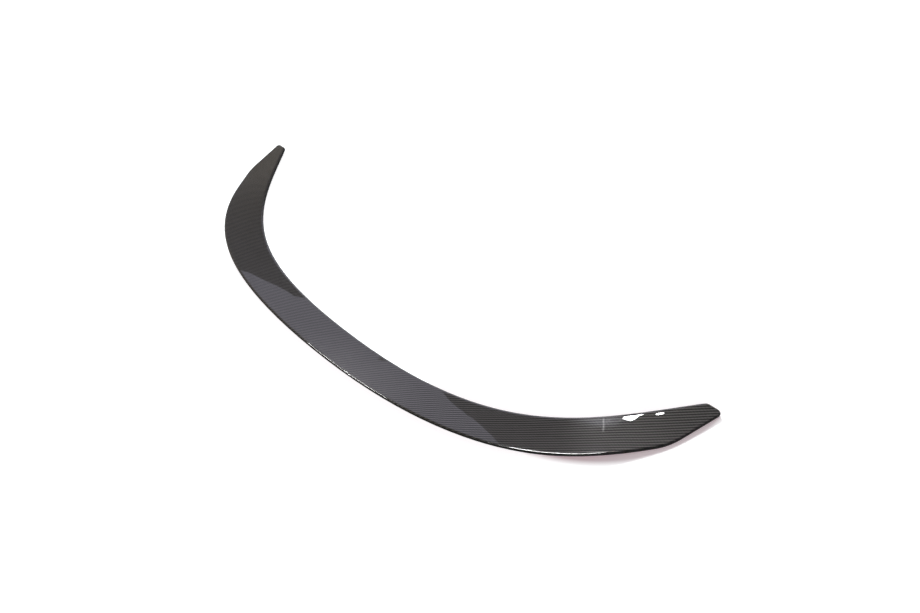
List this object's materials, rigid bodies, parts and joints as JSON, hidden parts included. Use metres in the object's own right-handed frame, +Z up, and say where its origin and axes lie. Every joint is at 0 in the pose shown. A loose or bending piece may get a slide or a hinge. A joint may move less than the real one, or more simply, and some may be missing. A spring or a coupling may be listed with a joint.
{
  "type": "car rear spoiler",
  "caption": "Slim carbon-fibre lip for the rear edge of a car's boot lid: a curved ducktail blade whose ends sweep forward as tapering wings, stuck down with foam tape.",
  "frame": {"origin": "on the floor that the part lies on, in the middle of the part seen from above", "axes": "+X across the car to its right-hand side, +Y towards the front of the car, +Z up"},
  "size_m": [1.1942, 0.3721, 0.0274],
  "materials": {
    "carbon": "2x2 twill carbon fibre under a gloss clear coat",
    "tape": "red release liner over grey foam tape"
  },
  "bodies": {
    "root": {"spoiler": "carbon", "front_tape": "tape", "rear_tape": "tape"}
  },
  "joints": []
}
